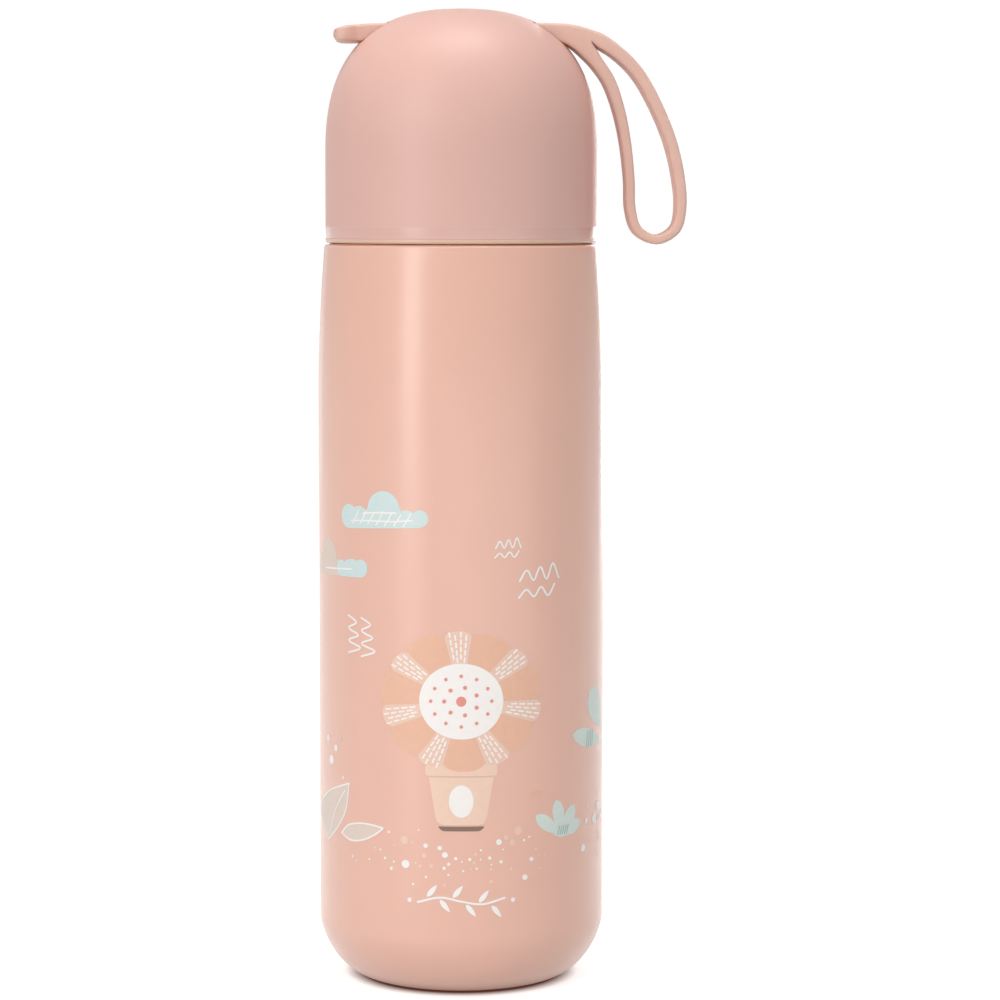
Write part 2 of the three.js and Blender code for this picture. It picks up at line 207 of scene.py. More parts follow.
def skin(count, steps):
    """The faces of a closed tube: its two ends, and the walls between sections of count vertices."""
    faces = [tuple(range(count)), tuple(range(steps * count, (steps + 1) * count))]
    for i in range(steps):
        for k in range(count):
            a, b = i * count + k, i * count + (k + 1) % count
            faces.append((a, b, b + count, a + count))
    return faces


def crisp(obj, sharp):
    obj.data.shade_smooth()
    obj.data.set_sharp_from_angle(angle=radians(sharp))


def revolve(name, outline, segments=160, sharp=35):
    """A solid turned about Z. Its outline (see rounded) closes on itself, or starts and ends on the axis."""
    verts = []
    rows = []
    for r, z in rounded(outline):
        size = 1 if r < 1e-6 else segments
        rows.append(range(len(verts), len(verts) + size))
        verts += [(*polar(r, TURN * k / segments), z) for k in range(size)]
    if len(rows[0]) > 1 or len(rows[-1]) > 1:
        rows.append(rows[0])
    faces = []
    for low, high in zip(rows, rows[1:]):
        for k in range(segments):
            m = (k + 1) % segments
            ring = [low[k % len(low)], low[m % len(low)], high[m % len(high)], high[k % len(high)]]
            face = list(dict.fromkeys(ring))
            if len(face) > 2:
                faces.append(face)
    return new_object(name, verts, faces, sharp)


def block(name, x, y, z):
    """A box from its lowest and highest x, y and z."""
    verts = [(a, b, c) for a in x for b in y for c in z]
    faces = [(0, 1, 3, 2), (4, 6, 7, 5), (0, 4, 5, 1), (2, 3, 7, 6), (0, 2, 6, 4), (1, 5, 7, 3)]
    return new_object(name, verts, faces)


def thread(root, crest, z):
    """One start of a right-hand screw thread, with round flanks and faded ends, let into its wall."""
    let_in = 0.3 * (1 if crest > root else -1)
    section = rounded([(-let_in, -1.25), (0, -1.2, 0.3), (crest - root, -0.6, 0.3),
                       (crest - root, 0.6, 0.3), (0, 1.2, 0.3), (-let_in, 1.25)], 3)
    steps, fade = 96, 9  # samples along the thread, and how many of them each end takes to fade
    verts = []
    for i in range(steps + 1):
        a = i / steps * THREAD_TURNS * TURN
        middle = z + i / steps * THREAD_TURNS * PITCH
        grow = min(1, (i + 0.4) / fade, (steps - i + 0.4) / fade)
        grow = sin(grow * pi / 2)
        for out, up in section:
            r = root + (out if abs(out + let_in) < 1e-6 else out * grow)
            verts.append((*polar(r, a), middle + up))
    return new_object("thread", verts, skin(len(section), steps))


def apply(obj):
    """Makes the object's modifiers part of its mesh."""
    evaluated = obj.evaluated_get(bpy.context.evaluated_depsgraph_get())
    mesh = bpy.data.meshes.new_from_object(evaluated)
    obj.modifiers.clear()
    obj.data = mesh


def combine(obj, other, operation="UNION", sharp=35):
    """Cuts or joins other, which is used up."""
    step = obj.modifiers.new("combine", "BOOLEAN")
    step.operation = operation
    step.solver = "EXACT"
    step.object = other
    apply(obj)
    bpy.data.objects.remove(other)
    crisp(obj, sharp)
    return obj


def soften(obj, width, sharp=35):
    """Rounds the sharp edges a little."""
    step = obj.modifiers.new("soften", "BEVEL")
    step.width = width * MM
    step.segments = 3
    step.limit_method = "ANGLE"
    step.angle_limit = radians(50)
    apply(obj)
    crisp(obj, sharp)
    return obj


def turn_z(obj, degrees):
    """Turns the mesh itself about Z."""
    a = radians(degrees)
    for v in obj.data.vertices:
        x, y, z = v.co
        v.co = (x * cos(a) - y * sin(a), x * sin(a) + y * cos(a), z)
    return obj


# ------ materials

def linear(color):
    """0-255 sRGB as linear light."""
    made = [c / 255 / 12.92 if c / 255 <= 0.04045 else ((c / 255 + 0.055) / 1.055) ** 2.4 for c in color]
    return (*made, 1)


def fill(node, **values):
    """Sets a node's inputs by name, with _ for a space."""
    for key, value in values.items():
        node.inputs[key.replace("_", " ")].default_value = value


class Finish:
    """A procedural material: Principled, with helpers that build colour, roughness and bump from noise."""

    def __init__(self, name, color, roughness, metallic=0, **fixed):
        self.material = bpy.data.materials.new(name)
        self.material.use_nodes = True
        self.nodes = self.material.node_tree.nodes
        self.links = self.material.node_tree.links
        self.shader = self.nodes["Principled BSDF"]
        self.base = linear(color)
        fill(self.shader, Base_Color=self.base, Roughness=roughness, Metallic=metallic, **fixed)
        self.place = self.nodes.new("ShaderNodeTexCoord").outputs["Object"]
        self.normal = None

    def noise(self, size, detail=3, stretch=(1, 1, 1)):
        """Noise whose features are about size millimetres across, as a 0-1 value."""
        mapping = self.nodes.new("ShaderNodeMapping")
        fill(mapping, Scale=[s / (size * MM) for s in stretch])
        self.links.new(self.place, mapping.inputs["Vector"])
        made = self.nodes.new("ShaderNodeTexNoise")
        fill(made, Scale=1, Detail=detail)
        self.links.new(mapping.outputs["Vector"], made.inputs["Vector"])
        return made.outputs["Fac"]

    def spread(self, value, low, high, start=0.3, stop=0.7):
        """A value from start to stop, brought to low to high."""
        made = self.nodes.new("ShaderNodeMapRange")
        fill(made, From_Min=start, From_Max=stop, To_Min=low, To_Max=high)
        self.links.new(value, made.inputs["Value"])
        return made.outputs["Result"]

    def height(self, low, high):
        """0 below low and 1 above high, both in millimetres along Z."""
        split = self.nodes.new("ShaderNodeSeparateXYZ")
        self.links.new(self.place, split.inputs["Vector"])
        return self.spread(split.outputs["Z"], 0, 1, low * MM, high * MM)

    def mix(self, factor, a, b, kind="RGBA"):
        """Two colours, or two values if the kind is VALUE, by a 0-1 value. Either can be a socket."""
        made = self.nodes.new("ShaderNodeMix")
        made.data_type = "RGBA" if kind == "RGBA" else "FLOAT"
        self.links.new(factor, made.inputs["Factor"])
        for name, source in (("A", a), ("B", b)):
            entry = [i for i in made.inputs if i.name == name and i.type == kind][0]
            if isinstance(source, bpy.types.NodeSocket):
                self.links.new(source, entry)
            else:
                entry.default_value = source
        return [o for o in made.outputs if o.type == kind][0]

    def shade(self, value, dark):
        """The base colour, mottled with itself times dark."""
        darker = tuple(c * dark for c in self.base[:3]) + (1,)
        self.paint(self.mix(self.spread(value, 0, 1), darker, self.base))

    def paint(self, color):
        self.links.new(color, self.shader.inputs["Base Color"])

    def rough(self, value):
        self.links.new(value, self.shader.inputs["Roughness"])

    def bump(self, value, depth, strength=1):
        """Relief of that many millimetres, added to any before it."""
        made = self.nodes.new("ShaderNodeBump")
        fill(made, Strength=strength, Distance=depth * MM)
        self.links.new(value, made.inputs["Height"])
        if self.normal:
            self.links.new(self.normal, made.inputs["Normal"])
        self.normal = made.outputs["Normal"]
        self.links.new(self.normal, self.shader.inputs["Normal"])

    def surface(self, mottle, gloss, *bumps):
        """The usual finish: the darkest shade, the lowest and highest roughness, and each relief's depth.
        Each is followed by its noise."""
        dark, *grain = mottle
        self.shade(self.noise(*grain), dark)
        low, high, *grain = gloss
        self.rough(self.spread(self.noise(*grain), low, high))
        for depth, *grain in bumps:
            self.bump(self.noise(*grain), depth)
        return self.material


def cup_plastic():
    """Satin moulded plastic, spark-eroded above and smoother in the band at the cup's edge."""
    made = Finish("cup_plastic", (228, 182, 170), 0.45)
    made.shade(made.noise(12, 2), 0.985)
    grain = made.spread(made.noise(0.4), 0.44, 0.5)
    above = made.height(BAND_Z - 0.15, BAND_Z + 0.15)
    made.rough(made.mix(above, 0.24, grain, "VALUE"))
    made.bump(made.noise(0.3, 2), 0.003)
    return made.material


def brushed_steel():
    """Turned stainless steel: fine lines that run round the axis, and soft smudges."""
    made = Finish("brushed_steel", (206, 203, 198), 0.3, 1, Anisotropic=0.3)
    lines = made.noise(0.16, 2, (0.02, 0.02, 1))
    made.shade(made.noise(6, 3), 0.93)
    made.rough(made.spread(lines, 0.24, 0.36))
    made.bump(lines, 0.004, 0.6)
    return made.material


def ink(name, color):
    """Screen-printed ink: nearly even, with a faint mottle and the satin of its varnish."""
    made = Finish("ink_" + name, color, 0.45, Coat_Weight=0.1, Coat_Roughness=0.3)
    return made.surface((0.965, 1.4, 4), (0.42, 0.5, 0.5), (0.003, 0.3, 2))


# Satin powder coat: a slight orange peel over a fine grain.
PAINT = Finish(
    "body_paint", (238, 186, 166), 0.42, Coat_Weight=0.6, Coat_Roughness=0.2,
    Sheen_Weight=0.15, Sheen_Roughness=0.25, Sheen_Tint=(1, 0.62, 0.48, 1),
).surface((0.985, 9, 2), (0.4, 0.46, 0.5), (0.006, 0.9, 2), (0.003, 0.25, 2))
CUP = cup_plastic()
RIM = Finish("rim_plastic", (230, 194, 172), 0.32).surface((0.97, 5, 2), (0.3, 0.38, 0.6), (0.003, 0.5, 2))
# Food-grade moulding with a trace of flow lines.
WHITE = Finish(
    "white_plastic", (240, 236, 232), 0.4, Subsurface_Weight=0.05, Subsurface_Scale=0.002,
).surface((0.965, 7, 3, (1, 1, 0.4)), (0.36, 0.46, 0.6), (0.004, 0.4, 2))
# Soft matte silicone with fine speckle and a little dust.
STRAP = Finish(
    "strap_silicone", (231, 189, 173), 0.58, Subsurface_Weight=0.08, Subsurface_Scale=0.0015,
    Sheen_Weight=0.12, Sheen_Roughness=0.5,
).surface((0.965, 3.5, 4), (0.52, 0.64, 0.7), (0.008, 1.6, 2), (0.004, 0.22, 2))
# Milky, slightly see-through silicone.
CLEAR = Finish(
    "clear_silicone", (232, 230, 224), 0.35, Transmission_Weight=0.25, IOR=1.41,
    Subsurface_Weight=0.15, Subsurface_Scale=0.002,
).surface((0.95, 2.5, 3), (0.3, 0.42, 0.6), (0.005, 0.4, 2))
PAD = Finish(
    "foot_silicone", (205, 160, 146), 0.65,
).surface((0.93, 2.5, 4), (0.58, 0.74, 0.8), (0.012, 0.3, 3))
STEEL_FINISH = brushed_steel()
FOAM = Finish("foam_cells", (240, 238, 230), 0.9).surface((0.86, 0.8, 3), (0.82, 0.96, 0.5), (0.15, 0.7, 3))
SOLDER = Finish(
    "solder_bead", (92, 90, 90), 0.35, 1,
).surface((0.7, 1.2, 3), (0.25, 0.5, 0.8), (0.04, 0.9, 3))
# A sintered pellet: dark, granular metal.
GETTER = Finish(
    "getter_pellet", (110, 109, 106), 0.6, 1,
).surface((0.55, 0.3, 4), (0.5, 0.8, 0.3), (0.05, 0.25, 3))


def piece(obj, material, slot, body, *nodes):
    """Gives a new piece its material and body, and lets it stand for those CAD nodes. The slot is not used.
    """
    obj.data.materials.clear()
    obj.data.materials.append(material)
    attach(obj, body)
    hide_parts(*nodes)
    return obj


def keep(node, material):
    """A CAD node whose shape is right gets a finished material."""
    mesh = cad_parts[node].data
    mesh.materials.clear()
    mesh.materials.append(material)


# ------ flask

def painted_wall():
    """The wall from its foot to the inside of its shoulder, where the paint stops."""
    edge = 28.6
    taper = [TAPER_Z + (SHOULDER_Z - TAPER_Z) * k / 12 for k in range(12)]
    outside = quarter((BODY_R, BASE_H), (FOOT_R, FOOT_Z), BASE_POWER, 24)[::-1]
    outside += [(BODY_R, BASE_H + (TAPER_Z - BASE_H) * k / 6) for k in range(1, 6)]
    outside += [(wall_r(z), z) for z in taper]
    corner = [(wall_r(SHOULDER_Z - 1.5), SHOULDER_Z - 1.5), (SHOULDER_R, SHOULDER_Z, 0.7)]
    corner += [(RIDGE_OUT + 0.2, SHOULDER_Z, 0.1), (RIDGE_OUT, RIDGE_Z, 0.1), (RIDGE_IN, RIDGE_Z, 0.1),
               (RIDGE_IN - 0.2, SHOULDER_Z, 0.1), (edge, SHOULDER_Z, 0.15)]
    inside = [(edge, SHOULDER_Z - STEEL), (SHOULDER_R - 0.9, SHOULDER_Z - STEEL)]
    inside += [(wall_r(z) - STEEL, z) for z in taper[::-1]]
    inside += quarter((BODY_R - STEEL, BASE_H), (FOOT_R, FOOT_Z + STEEL), BASE_POWER, 16)
    return revolve("painted_wall", outside + corner + inside, 192)


def steel_neck():
    """The bare neck with its thread, and the ring of bare steel round its root."""
    edge = 28.5
    made = revolve("steel_neck", [
        (edge, SHOULDER_Z - STEEL), (edge, SHOULDER_Z - 0.08, 0.1), (NECK_R + 1.2, SHOULDER_Z - 0.08, 0.6),
        (NECK_R, SHOULDER_Z + 1.2, 0.6), (NECK_R, NECK_TOP), (NECK_R - STEEL, NECK_TOP),
        (NECK_R - STEEL, SHOULDER_Z + 0.8, 0.6), (NECK_R + 0.9, SHOULDER_Z - STEEL, 0.4),
    ])
    return combine(made, thread(NECK_R, NECK_R + THREAD_H, THREAD_Z))


def inner_flask():
    """The liner: a drawn tube with a round bottom, necked in and rolled out over the mouth."""
    outer_r, bottom, shoulder, waist_r, waist = BODY_R - 3, 6.5, 164, 27.3, 170

    def side(inset):
        middle = (waist_r - inset, waist - inset)
        made = [(0, bottom + inset)]
        made += quarter((outer_r - inset, bottom + 9), (22, bottom + inset), 2, 10)[::-1]
        made += quarter((outer_r - inset, shoulder), middle, 2, 10)
        made += quarter((MOUTH_R + STEEL - inset, waist + 5), middle, 2, 10)[::-1][1:]
        return made

    lip = [(MOUTH_R + STEEL, MOUTH_Z - STEEL, 0.1), (NECK_R, MOUTH_Z - STEEL, 0.1), (NECK_R, MOUTH_Z, 0.25),
           (MOUTH_R, MOUTH_Z, 0.6)]
    return revolve("inner_liner", side(0) + lip + side(STEEL)[::-1])


def base_plate():
    r, low, dimple, hole = PLATE_R, 1.6, 4.5, 0.9
    high, top = low + STEEL, low + 2 * STEEL
    return revolve("bottom_plate", [
        (r, PLATE_LOW, 0.15), (r, high, 0.6), (dimple + 1, high, 0.4), (dimple, top, 0.4), (hole, top),
        (hole, high), (dimple - 0.3, high, 0.3), (dimple + 0.5, low, 0.4), (r - STEEL, low, 0.4),
        (r - STEEL, PLATE_LOW, 0.15),
    ])


def base_pad():
    """The silicone foot, with grooves that grip the table."""
    under = [(0, 0)]
    for r in (6, 10, 14, 18):
        under += [(r - 0.5, 0, 0.2), (r - 0.3, 0.4, 0.15), (r + 0.3, 0.4, 0.15), (r + 0.5, 0, 0.2)]
    edge = [(PAD_R - 0.4, 0, 0.6), (PAD_R, 0.8, 0.4), (PAD_R, PAD_TOP, 0.3), (0, PAD_TOP)]
    return revolve("foot_pad", under + edge)


piece(painted_wall(), PAINT, "body_paint", "flask", "outer_shell")
piece(steel_neck(), STEEL_FINISH, "steel", "flask", "outer_shell")
piece(inner_flask(), STEEL_FINISH, "steel", "flask", "inner_flask")
piece(base_plate(), STEEL_FINISH, "steel", "flask", "base_plate")
piece(base_pad(), PAD, "foot_silicone", "flask", "base_pad")
keep("seal_bead", SOLDER)
keep("getter", GETTER)
keep("getter_clip", STEEL_FINISH)


# ------ stopper

def stopper_body():
    """The upper half: a skirt threaded inside and out, a deck and a pouring lip with a spout."""
    skirt_in, wall_in, tube_r = NECK_R + 1.3, PLUG_R - 1.4, 8.9
    skirt_low, wall_low, lip_top = CUP_Z + 0.4, 188, DECK_TOP + 3.7
    made = revolve("stopper_top", [
        (SKIRT_R, skirt_low, 0.4), (SKIRT_R, DECK_TOP, 0.6), (SKIRT_R - 0.9, DECK_TOP + 0.5, 0.5),
        (SKIRT_R - 0.9, lip_top, 0.5), (SKIRT_R - 2.3, lip_top, 0.5), (SKIRT_R - 2.9, DECK_TOP + 0.4, 0.6),
        (SKIRT_R - 3.8, DECK_TOP, 0.6), (tube_r, DECK_TOP, 0.4), (tube_r, DECK_Z, 0.3),
        (wall_in, DECK_Z, 0.4), (wall_in, wall_low, 0.3), (PLUG_R, wall_low, 0.3), (PLUG_R, DECK_Z, 0.4),
        (skirt_in, DECK_Z, 0.4), (skirt_in, skirt_low, 0.3),
    ])
    combine(made, thread(skirt_in, skirt_in - THREAD_H, THREAD_Z - PITCH / 2))
    combine(made, thread(SKIRT_R, SKIRT_R + THREAD_H, THREAD_Z))
    spout = block("spout", (-5, 5), (-SKIRT_R - 1, 3.5 - SKIRT_R), (DECK_TOP + 2.2, lip_top + 1))
    return combine(made, spout, "DIFFERENCE")


def button_collar():
    """The collar that the button slides in, on three feet."""
    made = revolve("button_housing", [
        (COLLAR_R - 1.4, COLLAR_LOW), (COLLAR_R, COLLAR_LOW), (COLLAR_R, COLLAR_TOP, 0.5),
        (COLLAR_R - 1.4, COLLAR_TOP, 0.4),
    ], 128)
    for a in (0, 120, 240):
        window = block("window", (-4, 4), (-14, -9.5), (COLLAR_LOW - 1, COLLAR_LOW + 3.6))
        combine(made, turn_z(window, a), "DIFFERENCE")
    return made


def stopper_base():
    """The lower half: a plug with the pouring tube in its middle and a groove for the seal."""
    groove_r, low, high = PLUG_R - 1.6, 182, 185  # the groove
    step, top = 187.7, 192
    tube_in, tube_r = 5.9, 7.4
    return revolve("stopper_plug", [
        (5, PLUG_Z, 0.4), (PLUG_R - 1.5, PLUG_Z, 0.8), (PLUG_R, PLUG_Z + 1.5, 0.8), (PLUG_R, low, 0.2),
        (groove_r, low, 0.2), (groove_r, high, 0.2), (PLUG_R, high, 0.2), (PLUG_R, step, 0.3),
        (PLUG_R - 1.7, step, 0.2), (PLUG_R - 1.7, top, 0.4), (PLUG_R - 2.9, top, 0.3),
        (PLUG_R - 2.9, PLUG_Z + 1.8, 0.6), (tube_r, PLUG_Z + 1.8, 0.6), (tube_r, BASE_TOP, 0.3),
        (tube_in, BASE_TOP, 0.3), (tube_in, PLUG_Z + 2.5, 0.3), (5, PLUG_Z + 1.6, 0.3),
    ], 128)


def mouth_gasket():
    low, high = reach("mouth_gasket")[1:]
    return revolve("lip_gasket", [
        (MOUTH_R + 0.4, low, 0.3), (NECK_R, low, 0.3), (NECK_R, high, 0.2), (MOUTH_R + 0.4, high, 0.2),
    ], 128)


def plug_seal():
    """A ring with two lips that wipe the neck."""
    return revolve("neck_seal", [
        (21, 182.3, 0.2), (22.4, 182.3, 0.2), (22.8, 182.9, 0.3), (22.3, 183.5, 0.3), (22.8, 184.1, 0.3),
        (22.4, 184.7, 0.2), (21, 184.7, 0.2),
    ], 128)


def stem_guide():
    """The hub on three spokes that guides the valve's stem."""
    low, high = 200.3, 201.8
    rim = [(6.2, low, 0.2), (8.5, low, 0.2), (8.5, high, 0.2), (6.2, high, 0.2)]
    made = revolve("stem_hub", rim, 96)
    tube = [(2.1, low, 0.2), (3.4, low, 0.2), (3.4, high + 2, 0.3), (2.1, high + 2, 0.3)]
    hub = revolve("hub", tube, 64)
    for a in (0, 120, 240):
        spoke = turn_z(block("spoke", (2.8, 6.6), (-1, 1), (low, high)), a)
        combine(made, spoke)
    return combine(made, hub)


def button_spring():
    """A steel coil with round wire."""
    low, high = reach("button_spring")[1:]
    mean_r, wire_r, turns, per_turn, sides = 4.6, 0.35, 3.5, 40, 10
    steps = int(turns * per_turn)
    verts = []
    for i in range(steps + 1):
        a = i / per_turn * TURN
        middle = low + wire_r + (high - low - 2 * wire_r) * i / steps
        for k in range(sides):
            b = k / sides * TURN
            r = mean_r + wire_r * cos(b)
            verts.append((*polar(r, a), middle + wire_r * sin(b)))
    return new_object("return_spring", verts, skin(sides, steps), 60)


def push_button():
    """A dished cap with a boss for the stem and a seat for its insert."""
    plate, rim_in = BUTTON_Z - 3.1, BUTTON_R - 1.9
    return revolve("thumb_button", [
        (1.9, plate - 1, 0.2), (3.2, plate - 1, 0.2), (3.2, plate, 0.3), (BUTTON_R - 1.2, plate, 0.4),
        (BUTTON_R - 1.2, BUTTON_LOW, 0.2), (BUTTON_R, BUTTON_LOW, 0.2), (BUTTON_R, BUTTON_Z, 0.9),
        (rim_in, BUTTON_Z, 0.3), (rim_in, plate + 1.5, 0.3), (1.9, plate + 1.5, 0.2),
    ], 128)


def button_insert():
    """A coloured disc with a lip under its edge, dished for the thumb."""
    low, lip, r = 211, 210.2, 8.6
    return revolve("button_disc", [
        (0, low), (8, low, 0.2), (8, lip, 0.1), (r, lip, 0.1), (r, low + 0.3, 0.4), (7.6, low + 0.7, 0.5),
        (5, low + 0.55, 1.5), (0, low + 0.5),
    ], 96)


def button_screw():
    """A pan-head screw with a cross recess."""
    low, head, top = 204, 210.1, 210.7
    made = revolve("stem_screw", [
        (0, low), (0.5, low, 0.1), (0.8, low + 0.4, 0.2), (0.8, head, 0.1), (2.6, head, 0.1),
        (2.6, head + 0.3, 0.1), (2.1, top, 0.3), (0, top),
    ], 48)
    for a in (0, 90):
        slot = turn_z(block("slot", (-1.3, 1.3), (-0.25, 0.25), (top - 0.4, top + 0.3)), a)
        combine(made, slot, "DIFFERENCE")
    return made


def valve_stem():
    """The stem, bored for its screw, and the disc that closes the plug from below."""
    low, disc, stem_r, top, bore_r, bore_z = 171.6, 173.6, 1.6, 208.2, 1.1, 203.5
    return revolve("valve", [
        (0, low), (6.6, low, 0.5), (8.2, low + 1, 0.4), (8.2, disc, 0.3), (2.4, disc, 0.3),
        (stem_r, disc + 1, 0.4), (stem_r, top, 0.2), (bore_r, top, 0.1), (bore_r, bore_z), (0, bore_z),
    ], 64)


def valve_seal():
    in_r, r, low, top = 2.7, 7.8, 173.9, 176.2
    return revolve("valve_washer", [
        (in_r, low, 0.2), (r, low, 0.3), (r, top - 1, 0.4), (r - 1.2, top, 0.4), (in_r, top, 0.2),
    ], 96)


piece(stopper_body(), WHITE, "white_plastic", "stopper", "stopper_body")
piece(button_collar(), WHITE, "white_plastic", "stopper", "button_collar")
piece(stopper_base(), WHITE, "white_plastic", "stopper", "stopper_base")
piece(mouth_gasket(), CLEAR, "clear_silicone", "stopper", "mouth_gasket")
piece(plug_seal(), CLEAR, "clear_silicone", "stopper_ring", "plug_seal")
piece(stem_guide(), WHITE, "white_plastic", "stopper", "stem_guide")
piece(push_button(), CUP, "cup_plastic", "button", "push_button")
piece(button_insert(), RIM, "rim_plastic", "button", "button_insert")
piece(button_screw(), STEEL_FINISH, "steel", "button", "button_screw")
piece(valve_stem(), WHITE, "white_plastic", "button", "valve_stem")
piece(valve_seal(), CLEAR, "clear_silicone", "button", "valve_seal")
spring = piece(button_spring(), STEEL_FINISH, "steel", "stopper", "button_spring")
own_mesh(spring)
keep("stopper_foam", FOAM)
keep("cup_foam", FOAM)


# ------ cup

def tunnel():
    """The strap's tunnel, with round corners, as a solid to cut with."""
    half_y, half_z, corner = HALF_W + 0.8, 2.5, 1.6
    section = trapezoid(0, (half_y, -half_z, corner), (half_y, half_z, corner))
    verts = [(x, y, STRAP_Z + z) for x in (-40, 40) for y, z in section]
    return new_object("tunnel", verts, skin(len(section), 1))


def cup_shell():
    in_r = CUP_R - CUP_WALL
    dome = quarter((CUP_R, DOME_Z), (0, DOME_TOP), DOME_POWER, 48)
    hollow = quarter((in_r, DOME_Z), (0, CEILING), DOME_POWER, 32)[::-1]
    wall = [(CUP_R, BAND_Z - 0.1), (CUP_R, BAND_Z + 0.1), (CUP_R, 190), (CUP_R, 196)]
    low = [(in_r, CUP_LOW), (CUP_R, CUP_LOW, 0.25)]
    outline = rounded(low) + [Vector(p) for p in wall + dome + hollow]
    made = revolve("cup_dome", outline, 192, 40)
    combine(made, tunnel(), "DIFFERENCE", 40)
    return soften(made, 0.25, 40)


def cup_liner():
    """The bowl that the drink goes in."""
    wall = 1.2
    outside = quarter((LINER_R, DOME_Z), (0, BOWL_TOP), DOME_POWER, 28)
    inside = quarter((LINER_R - wall, DOME_Z), (0, BOWL_TOP - wall), DOME_POWER, 28)[::-1]
    low = [(LINER_R - wall, LINER_LOW, 0.4), (LINER_R, LINER_LOW, 0.4)]
    return revolve("cup_bowl_inside", rounded(low) + [Vector(p) for p in outside + inside], 160)


def cup_thread_ring():
    in_r, high = SKIRT_R + 1.3, reach("cup_thread_ring")[2]
    made = revolve("cup_screw_ring", [
        (in_r, CUP_LOW, 0.3), (LINER_R, CUP_LOW, 0.2), (LINER_R, high, 0.2), (in_r, high, 0.5),
    ])
    return combine(made, thread(in_r, in_r - THREAD_H, THREAD_Z - PITCH / 2))


def cup_rim():
    """The trim ring under the cup's edge, chamfered outside."""
    in_r, top = 30.5, CUP_LOW - 0.02
    return revolve("cup_trim", [
        (in_r, CUP_Z, 0.2), (CUP_R - 0.4, CUP_Z, 0.15), (CUP_R, CUP_Z + 0.45, 0.15), (CUP_R, top, 0.06),
        (in_r, top, 0.1),
    ], 192)


piece(cup_shell(), CUP, "cup_plastic", "cup", "cup_shell")
piece(cup_liner(), WHITE, "white_plastic", "cup_bowl", "cup_liner")
piece(cup_thread_ring(), WHITE, "white_plastic", "cup", "cup_thread_ring")
piece(cup_rim(), RIM, "rim_plastic", "cup", "cup_rim")


# ------ strap

# The band, left to right: x, top, bottom and half the width. The stop is wide and the tunnel's part plain.
BAND = [
    (-30.75, 231.3, 229.7, 6.2), (-30.4, 231.7, 229.3, 7.4), (-29.6, 232, 229.05, 8.3),
    (-28.4, 232.35, 228.95, 8.7), (-27.2, 232.6, 228.9, 8.4), (-26.2, 232.7, 228.9, 7.8),
    (-25.2, 232.8, 228.9, 7.2), (-23.8, 232.95, 228.9, 6.8), (-21.5, 233.1, 228.9, 6.5),
    (-18, 233.2, 228.85, 6.5), (-6, 233.2, 228.8, 6.5), (6, 233.2, 228.8, 6.5),
    (18, 233.2, 228.8, 6.5),
]
# The root, where the band turns into two strands: the top edge, the middle line, which ends in the crotch,
# and the bottom edge.
ROOT = [
    ((20.8, 233.2), (20.8, 231), (20.8, 228.8)),
    ((23.4, 233.1), (23.3, 230.95), (23.3, 228.7)),
    ((26, 232.9), (25.5, 230.75), (25.2, 228.2)),
    ((28.2, 232.5), (27.5, 230.4), (26.9, 227.2)),
    ((30.3, 231.95), (29.4, 229.7), (28.4, 225.9)),
    ((32.3, 231.3), (31.5, 228.7), (29.9, 224.5)),
]
# The strands from the crotch out along the far one, round the bend and back: x, z and thickness.
STRAND = [
    (33.6, 229, 3.3), (37.1, 226.7, 3.1), (40.8, 223.4, 3), (43.8, 219.6, 2.9),
    (47.9, 211.9, 2.8), (50.9, 204.2, 2.75), (52.7, 196.4, 2.7), (53.3, 189, 2.5), (52, 183.6, 2.35),
    (47.4, 181.15, 2.3), (42.8, 183.4, 2.3), (41.1, 188.4, 2.35), (40.8, 195.5, 2.35), (39.7, 205.3, 2.5),
    (38, 213, 2.7), (35.6, 219.5, 2.9), (32.6, 223.9, 3.1),
]


def strap_columns():
    """The strap's outer edge and, point for point, what it faces (the middle line, then the loop's gap, then
    the middle line again) and half the width there. Last comes how many points the middle line has."""
    steps = 5
    middle = smooth([(x, z) for x, z, _ in STRAND], 1)
    outer_edge, inner_edge = [], []
    for i, (point, (_, _, thick)) in enumerate(zip(middle, STRAND)):
        way = (middle[min(i + 1, len(middle) - 1)] - middle[max(i - 1, 0)]).normalized()
        side = Vector((-way.y, way.x)) * thick / 2
        outer_edge.append(point + side)
        inner_edge.append(point - side)
    top = [(x, high) for x, high, _, _ in BAND] + [r[0] for r in ROOT]
    line = [(x, (high + low) / 2) for x, high, low, _ in BAND] + [r[1] for r in ROOT]
    bottom = [(x, low) for x, _, low, _ in BAND] + [r[2] for r in ROOT]
    line[0] = (line[0][0] - 0.15, line[0][1])
    half = [h for _, _, _, h in BAND] + [HALF_W] * (len(ROOT) + len(outer_edge) + len(ROOT))
    half += [h for _, _, _, h in BAND[::-1]]
    outer = smooth(top + outer_edge + bottom[::-1], steps)
    out = smooth(line, steps)
    gap = smooth([line[-1]] + inner_edge + [line[-1]], steps)
    inner = out + gap[1:-1] + out[::-1]
    wide = [v[0] for v in smooth([(h, 0) for h in half], steps)]
    return outer, inner, wide, len(out)


